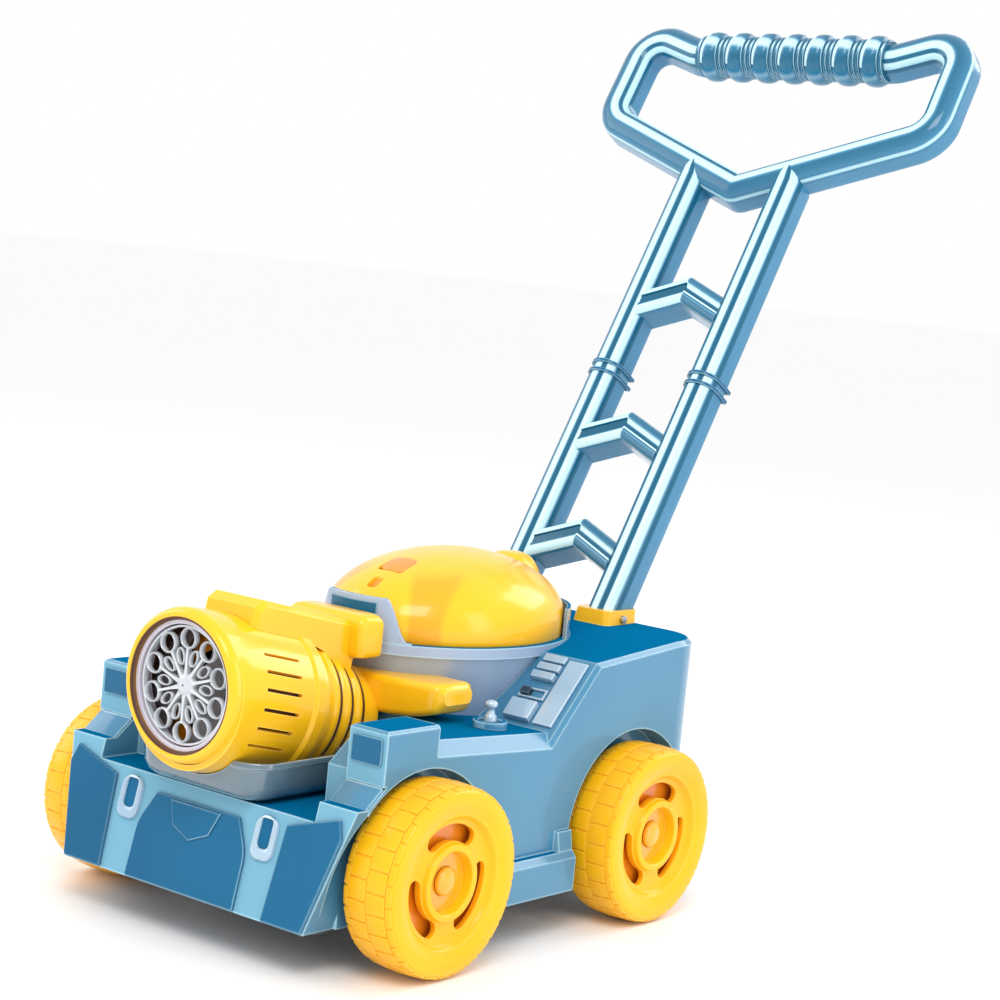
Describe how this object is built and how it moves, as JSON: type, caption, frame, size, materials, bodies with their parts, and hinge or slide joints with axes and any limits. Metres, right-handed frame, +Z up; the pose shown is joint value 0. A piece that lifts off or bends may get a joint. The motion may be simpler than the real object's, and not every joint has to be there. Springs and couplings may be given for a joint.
{
  "type": "bubble machine",
  "caption": "Toy bubble blower in the form of a push lawn mower, with a drum nozzle and bubble wheel at the front, a domed engine cover, road wheels and a tall forked push handle.",
  "frame": {"origin": "on the ground below the middle of the whole object", "axes": "+Z up, the bubble drum faces -Y, the push handle leans back towards +Y, X runs across; X = 0 is the symmetry plane"},
  "size_m": [0.2628, 0.544, 0.5382],
  "materials": {
    "blue_body": "glossy sky blue moulded plastic",
    "blue_gloss": "high-gloss blue moulded plastic",
    "pale_blue": "pale blue glossy plastic",
    "yellow": "glossy warm yellow plastic",
    "orange": "glossy orange plastic",
    "clear_tint": "clear tinted plastic",
    "white_plastic": "white moulded plastic",
    "dark_plastic": "dark moulded plastic",
    "steel": "plain steel",
    "cell_wrap": "plain cell wrap",
    "board": "circuit board"
  },
  "bodies": {
    "mower": {"air_baffle": "dark_plastic", "air_manifold": "yellow", "axle_bushes": "white_plastic", "axle_caps": "orange", "axles": "steel", "badge_plate": "pale_blue", "barrel_ridge": "yellow", "batteries": "cell_wrap", "battery_contacts": "steel", "battery_door": "dark_plastic", "blower_block": "yellow", "bumper_cheeks": "blue_body", "bumper_clips": "pale_blue", "bumper_panel": "blue_gloss", "button_collar": "blue_body", "case_screws": "steel", "chassis_floor": "dark_plastic", "circuit_board": "board", "console_panels": "pale_blue", "cover_scoop": "yellow", "cover_vents": "orange", "deck_shell": "blue_body", "drum_housing": "yellow", "drum_ring": "yellow", "engine_cover": "yellow", "engine_pod": "blue_body", "fan_motor": "steel", "front_rung": "blue_gloss", "hand_grip": "blue_gloss", "head_side_left": "blue_gloss", "head_side_right": "blue_gloss", "head_top_bar": "blue_gloss", "head_v_left": "blue_gloss", "head_v_right": "blue_gloss", "headlight_panels": "pale_blue", "joint_collars": "blue_gloss", "louvre_panels": "pale_blue", "lower_pole_left": "blue_gloss", "lower_pole_right": "blue_gloss", "middle_rung": "blue_gloss", "motor_bracket": "dark_plastic", "pole_sockets": "yellow", "socket_screws": "steel", "solution_tray": "clear_tint", "speaker": "dark_plastic", "upper_pole_left": "blue_gloss", "upper_pole_right": "blue_gloss", "upper_rung": "blue_gloss", "wand_guard": "clear_tint", "wand_motor": "steel"},
    "front_left_wheel": {"front_left_wheel": "yellow"},
    "front_right_wheel": {"front_right_wheel": "yellow"},
    "rear_left_wheel": {"rear_left_wheel": "yellow"},
    "rear_right_wheel": {"rear_right_wheel": "yellow"},
    "bubble_wheel": {"bubble_wheel": "white_plastic", "wand_gear": "white_plastic"},
    "motor_pinion": {"motor_pinion": "white_plastic"},
    "fan_impeller": {"fan_impeller": "white_plastic"},
    "start_button": {"start_button": "clear_tint"},
    "switch_knob": {"switch_knob": "dark_plastic"}
  },
  "joints": [
    {"name": "front_left_wheel_spin", "type": "hinge", "parent": "mower", "child": "front_left_wheel", "pos_m": [0, -0.1924, 0.05], "axis": [1, 0, 0], "continuous": true},
    {"name": "front_right_wheel_spin", "type": "hinge", "parent": "mower", "child": "front_right_wheel", "pos_m": [0, -0.1924, 0.05], "axis": [1, 0, 0], "continuous": true},
    {"name": "rear_left_wheel_spin", "type": "hinge", "parent": "mower", "child": "rear_left_wheel", "pos_m": [0, -0.009, 0.05], "axis": [1, 0, 0], "continuous": true},
    {"name": "rear_right_wheel_spin", "type": "hinge", "parent": "mower", "child": "rear_right_wheel", "pos_m": [0, -0.009, 0.05], "axis": [1, 0, 0], "continuous": true},
    {"name": "bubble_wheel_spin", "type": "hinge", "parent": "mower", "child": "bubble_wheel", "pos_m": [0, -0.2716, 0.1337], "axis": [0, 1, 0], "continuous": true},
    {"name": "motor_pinion_spin", "type": "hinge", "parent": "mower", "child": "motor_pinion", "pos_m": [0, -0.2716, 0.11935], "axis": [0, 1, 0], "continuous": true},
    {"name": "fan_spin", "type": "hinge", "parent": "mower", "child": "fan_impeller", "pos_m": [0, -0.2716, 0.1337], "axis": [0, 0.9781, -0.2079], "continuous": true},
    {"name": "start_button_press", "type": "slide", "parent": "mower", "child": "start_button", "axis": [0, 0, -1], "range_m": [0, 0.002], "stiffness_N_per_m": 150},
    {"name": "power_switch_slide", "type": "slide", "parent": "mower", "child": "switch_knob", "axis": [1, 0, 0], "range_m": [0, 0.008]}
  ],
  "couplings": [
    {"joint": "motor_pinion_spin", "follows": "bubble_wheel_spin", "ratio": -2.5}
  ]
}
